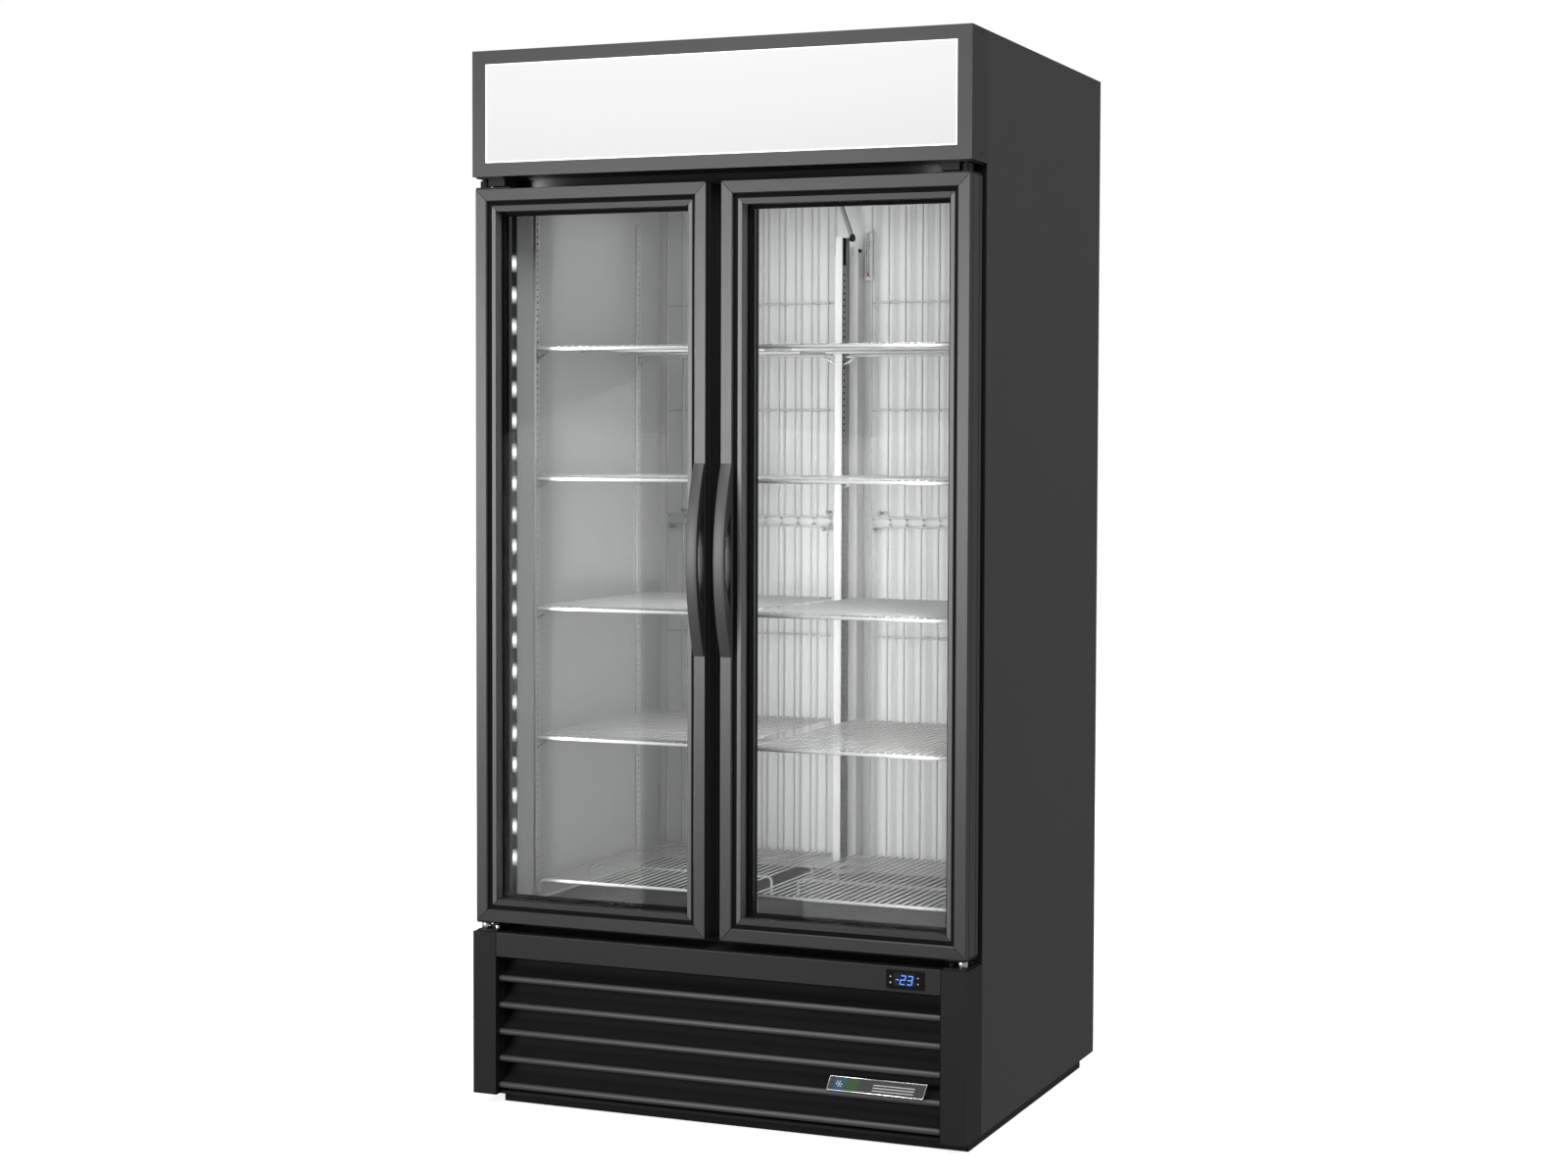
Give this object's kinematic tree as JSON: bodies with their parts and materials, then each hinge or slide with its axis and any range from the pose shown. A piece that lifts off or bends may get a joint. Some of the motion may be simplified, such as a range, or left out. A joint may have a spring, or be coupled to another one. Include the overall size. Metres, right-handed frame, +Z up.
{
  "type": "glass door merchandiser",
  "caption": "Upright freezer with glass doors side by side, wire shelves, a lit sign box above and a louvred grille with a small digital controller below.",
  "frame": {"origin": "on the floor, under the middle of the overall box, which runs from the handles' crowns to the rear panel", "axes": "+Z up, the doors face -Y, +X is to the right of someone who faces the doors"},
  "size_m": [1.004, 0.7886, 1.998],
  "materials": {
    "cabinet_paint": "satin powder coat",
    "sign_paint": "satin powder coat",
    "grille_paint": "semi-gloss",
    "galvanised_sheet": "spangled zinc",
    "foam": "matte foam",
    "liner_sheet": "satin white",
    "jamb_plastic": "matte",
    "base_steel": "matte",
    "sign_acrylic": "translucent white",
    "lamp": "diffuser",
    "badge_metal": "satin",
    "controller_plastic": "gloss",
    "key_plastic": "matte",
    "white_steel": "white powder coat",
    "white_wire": "white plastic-coated wire",
    "zinc_steel": "zinc plated",
    "coil_aluminium": "mill finish",
    "fan_plastic": "matte",
    "motor_metal": "satin",
    "tube_metal": "dull",
    "thermometer_glass": "clear",
    "compressor_paint": "satin black",
    "screw_steel": "black oxide",
    "door_aluminium": "dark satin anodised",
    "bead_plastic": "satin",
    "door_glass": "clear",
    "black_rubber": "matte",
    "handle_plastic": "satin",
    "bush_plastic": "matte"
  },
  "bodies": {
    "cabinet": {"side_panels": "cabinet_paint", "top_panel": "cabinet_paint", "rear_panel": "galvanised_sheet", "foam_insulation": "foam", "liner": "liner_sheet", "rear_wall_panel": "liner_sheet", "door_jamb": "jamb_plastic", "center_mullion": "jamb_plastic", "base_frame": "base_steel", "corner_columns": "cabinet_paint", "grille_header": "grille_paint", "front_grille": "grille_paint", "sign_housing": "sign_paint", "sign_panel": "sign_acrylic", "light_strips": "lamp", "badge": "badge_metal", "controller": "controller_plastic", "pilasters": "white_steel", "shelf_clips": "zinc_steel", "floor_racks": "white_wire", "rear_guards": "white_wire", "evaporator_cover": "liner_sheet", "evaporator_coil": "coil_aluminium", "fan_motors": "motor_metal", "drain_tube": "tube_metal", "thermometer": "thermometer_glass", "compressor": "compressor_paint", "condenser_coil": "coil_aluminium", "fan_shroud": "galvanised_sheet", "drip_pan": "galvanised_sheet", "control_box": "galvanised_sheet", "cord_gland": "black_rubber", "hinge_brackets": "zinc_steel", "screws": "screw_steel", "shelf_left_1": "white_wire", "shelf_left_2": "white_wire", "shelf_left_3": "white_wire", "shelf_left_4": "white_wire", "shelf_right_1": "white_wire", "shelf_right_2": "white_wire", "shelf_right_3": "white_wire", "shelf_right_4": "white_wire"},
    "left_door": {"left_door_frame": "door_aluminium", "left_door_bead": "bead_plastic", "left_door_glass": "door_glass", "left_door_gasket": "black_rubber", "left_door_handle": "handle_plastic", "left_door_bushes": "bush_plastic"},
    "right_door": {"right_door_frame": "door_aluminium", "right_door_bead": "bead_plastic", "right_door_glass": "door_glass", "right_door_gasket": "black_rubber", "right_door_handle": "handle_plastic", "right_door_bushes": "bush_plastic"},
    "condenser_fan_body": {"condenser_fan": "fan_plastic"},
    "evaporator_fan_body": {"evaporator_fan": "fan_plastic"},
    "key_down_cap": {"key_down": "key_plastic"},
    "key_power_cap": {"key_power": "key_plastic"},
    "key_set_cap": {"key_set": "key_plastic"},
    "key_up_cap": {"key_up": "key_plastic"}
  },
  "joints": [
    {"name": "left_door_swing", "type": "hinge", "parent": "cabinet", "child": "left_door", "pos_m": [-0.486, -0.34125, 1.04438], "axis": [0, 0, -1], "range_deg": [0, 110], "stiffness_Nm_per_rad": 0.8, "springref_deg": -17.19},
    {"name": "right_door_swing", "type": "hinge", "parent": "cabinet", "child": "right_door", "pos_m": [0.486, -0.34125, 1.04438], "axis": [0, 0, 1], "range_deg": [0, 110], "stiffness_Nm_per_rad": 0.8, "springref_deg": -17.19},
    {"name": "evaporator_fan_spin", "type": "hinge", "parent": "cabinet", "child": "evaporator_fan_body", "pos_m": [0, 0.02, 1.774], "axis": [0, 0, 1], "continuous": true},
    {"name": "condenser_fan_spin", "type": "hinge", "parent": "cabinet", "child": "condenser_fan_body", "pos_m": [0.01, -0.093, 0.1485], "axis": [0, 1, 0], "continuous": true},
    {"name": "key_set_press", "type": "slide", "parent": "cabinet", "child": "key_set_cap", "axis": [0, 1, 0], "range_m": [0, 0.0008], "stiffness_N_per_m": 300, "springref_m": -0.0005},
    {"name": "key_power_press", "type": "slide", "parent": "cabinet", "child": "key_power_cap", "axis": [0, 1, 0], "range_m": [0, 0.0008], "stiffness_N_per_m": 300, "springref_m": -0.0005},
    {"name": "key_up_press", "type": "slide", "parent": "cabinet", "child": "key_up_cap", "axis": [0, 1, 0], "range_m": [0, 0.0008], "stiffness_N_per_m": 300, "springref_m": -0.0005},
    {"name": "key_down_press", "type": "slide", "parent": "cabinet", "child": "key_down_cap", "axis": [0, 1, 0], "range_m": [0, 0.0008], "stiffness_N_per_m": 300, "springref_m": -0.0005}
  ]
}
